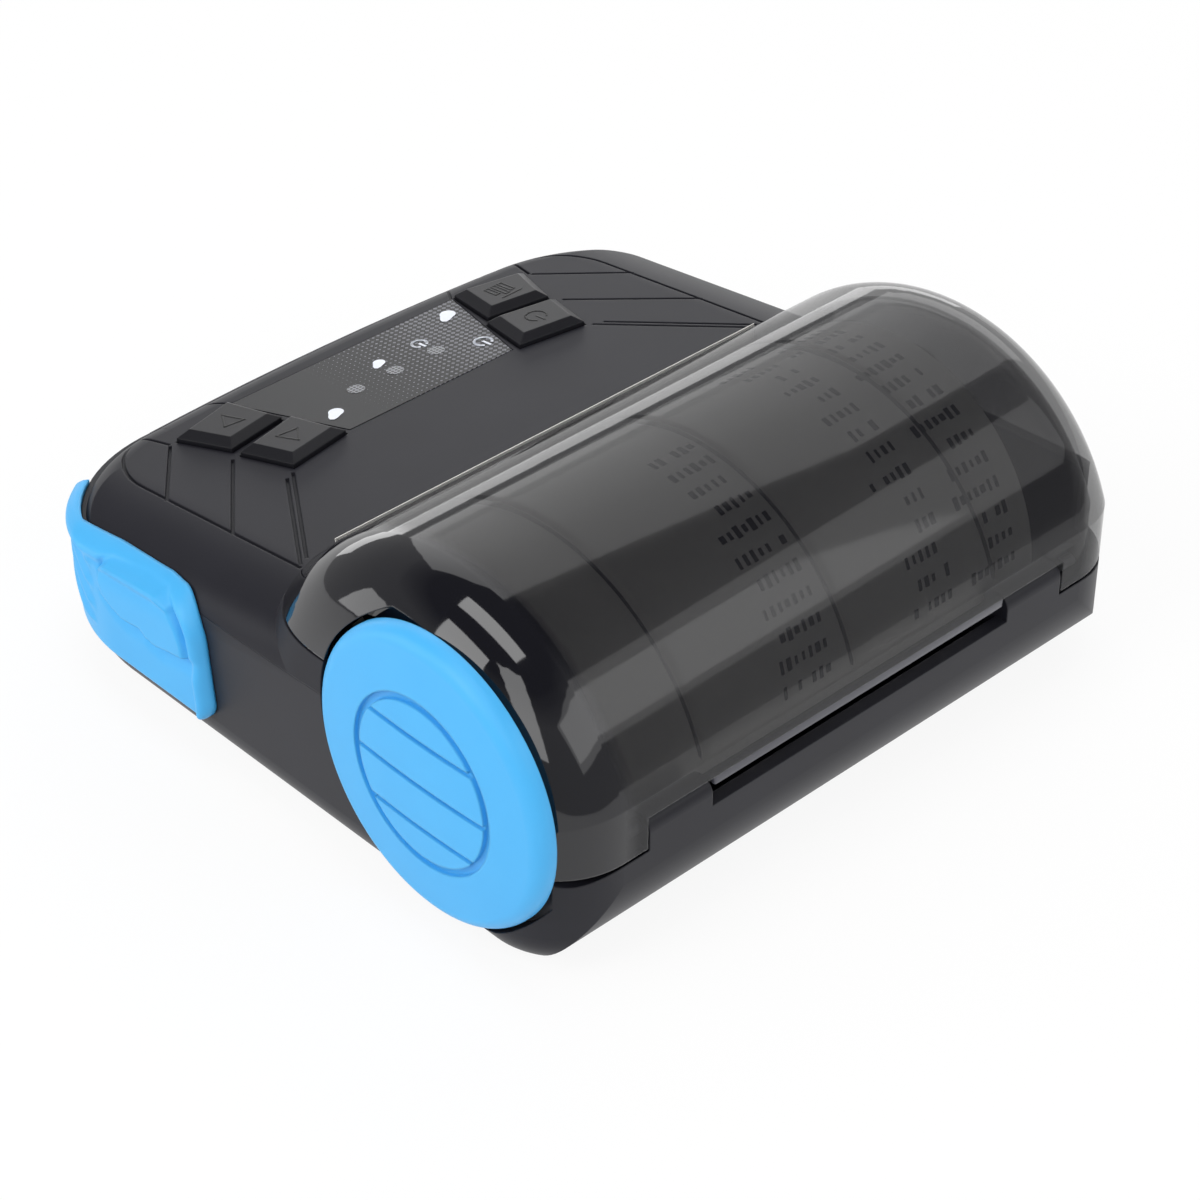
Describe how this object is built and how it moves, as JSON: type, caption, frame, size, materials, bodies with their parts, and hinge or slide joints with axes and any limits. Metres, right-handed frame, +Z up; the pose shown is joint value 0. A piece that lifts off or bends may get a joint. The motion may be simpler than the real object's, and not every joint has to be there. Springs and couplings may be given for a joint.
{
  "type": "thermal printer",
  "caption": "Portable thermal printer with a smoky see-through roll cover hinged at the rear, a round release disc at its right end, a sloping key panel and a soft port flap",
  "frame": {"origin": "on the resting surface, under the middle of the whole printer", "axes": "+X along the paper roll, to the right of a user who faces the keys; -Y towards the user; +Z up"},
  "size_m": [0.1145, 0.114, 0.0475],
  "materials": {
    "black_case": "satin textured black moulding",
    "smoky_cover": "glossy smoky see-through moulding",
    "black_parts": "plain black moulding",
    "blue_silicone": "soft satin sky blue",
    "black_rubber": "dull black",
    "bright_steel": "fine brushed",
    "alloy": "plain extruded",
    "paper": "smooth white paper",
    "card": "brown paper board",
    "label_film": "printed dark film",
    "clear": "clear light guide",
    "board_green": "green solder mask",
    "white_parts": "white moulding",
    "ceramic": "glazed ceramic",
    "cell_wrap": "shrink wrap",
    "brass_part": "machined",
    "grey_silicone": "dull grey"
  },
  "bodies": {
    "case": {"lower_case": "black_case", "upper_case": "black_case", "hinge_pins": "bright_steel", "key_membrane": "grey_silicone", "key_board": "board_green", "status_label": "label_film", "light_guides": "clear", "tear_bar": "bright_steel", "mech_frame": "bright_steel", "head_rod": "bright_steel", "head_springs": "bright_steel", "idler_pin": "bright_steel", "step_motor": "bright_steel", "paper_bay": "black_parts", "paper_web": "paper", "latch_pin": "bright_steel", "latch_spring": "bright_steel", "main_board": "board_green", "board_chips": "black_parts", "usb_socket": "bright_steel", "dc_jack": "black_parts", "battery_pack": "cell_wrap", "battery_door": "black_case", "door_screw": "bright_steel", "case_screws": "bright_steel", "rubber_feet": "black_rubber", "flap_anchor": "blue_silicone"},
    "cover": {"paper_cover": "smoky_cover", "platen_bracket": "black_parts", "printed_slip": "paper", "platen_bearings": "white_parts"},
    "platen": {"platen_rubber": "black_rubber", "platen_shaft": "bright_steel", "platen_gear": "white_parts"},
    "idler": {"idler_gear": "white_parts"},
    "rotor": {"motor_pinion": "brass_part"},
    "roll": {"paper_roll": "paper", "roll_core": "card"},
    "key_up": {"key_up": "black_parts"},
    "key_down": {"key_down": "black_parts"},
    "key_feed": {"key_feed": "black_parts"},
    "key_power": {"key_power": "black_parts"},
    "disc": {"release_disc": "blue_silicone"},
    "latch": {"disc_latch": "bright_steel"},
    "head": {"heat_sink": "alloy", "print_head": "ceramic"},
    "flap": {"flap_door": "blue_silicone"}
  },
  "joints": [
    {"name": "cover_hinge", "type": "hinge", "parent": "case", "child": "cover", "pos_m": [0, 0.0548, 0.0192], "axis": [-1, 0, 0], "range_deg": [0, 85]},
    {"name": "platen_spin", "type": "hinge", "parent": "cover", "child": "platen", "pos_m": [0, 0.003, 0.0245], "axis": [1, 0, 0], "continuous": true},
    {"name": "idler_spin", "type": "hinge", "parent": "case", "child": "idler", "pos_m": [-0.04725, 0.00166, 0.01137], "axis": [1, 0, 0], "continuous": true},
    {"name": "pinion_spin", "type": "hinge", "parent": "case", "child": "rotor", "pos_m": [-0.04725, -0.00914, 0.01137], "axis": [1, 0, 0], "continuous": true},
    {"name": "roll_spin", "type": "hinge", "parent": "case", "child": "roll", "pos_m": [0, 0.0275, 0.0215], "axis": [1, 0, 0], "continuous": true},
    {"name": "key_up_press", "type": "slide", "parent": "case", "child": "key_up", "axis": [0, 0.1288, -0.9917], "range_m": [0, 0.0008], "stiffness_N_per_m": 600, "springref_m": -0.0002},
    {"name": "key_down_press", "type": "slide", "parent": "case", "child": "key_down", "axis": [0, 0.1288, -0.9917], "range_m": [0, 0.0008], "stiffness_N_per_m": 600, "springref_m": -0.0002},
    {"name": "key_feed_press", "type": "slide", "parent": "case", "child": "key_feed", "axis": [0, 0.1288, -0.9917], "range_m": [0, 0.0008], "stiffness_N_per_m": 600, "springref_m": -0.0002},
    {"name": "key_power_press", "type": "slide", "parent": "case", "child": "key_power", "axis": [0, 0.1288, -0.9917], "range_m": [0, 0.0008], "stiffness_N_per_m": 600, "springref_m": -0.0002},
    {"name": "disc_press", "type": "slide", "parent": "case", "child": "disc", "axis": [-1, 0, 0], "range_m": [0, 0.0014], "stiffness_N_per_m": 900, "springref_m": -0.0004},
    {"name": "latch_swing", "type": "hinge", "parent": "case", "child": "latch", "pos_m": [0.04775, 0.012, 0.013], "axis": [-1, 0, 0], "range_deg": [0, 9.6]},
    {"name": "head_rock", "type": "hinge", "parent": "case", "child": "head", "pos_m": [0, -0.0054, 0.018], "axis": [1, 0, 0], "range_deg": [0, 1.6], "stiffness_Nm_per_rad": 2, "springref_deg": -114.59},
    {"name": "flap_swing", "type": "hinge", "parent": "case", "child": "flap", "pos_m": [0.04526, -0.05247, 0.015], "axis": [0, 0, -1], "range_deg": [0, 110]}
  ],
  "couplings": [
    {"joint": "idler_spin", "follows": "platen_spin", "ratio": -0.83333},
    {"joint": "pinion_spin", "follows": "platen_spin", "ratio": 1.6667},
    {"joint": "latch_swing", "follows": "disc_press", "rad_per_m": 118.43}
  ]
}
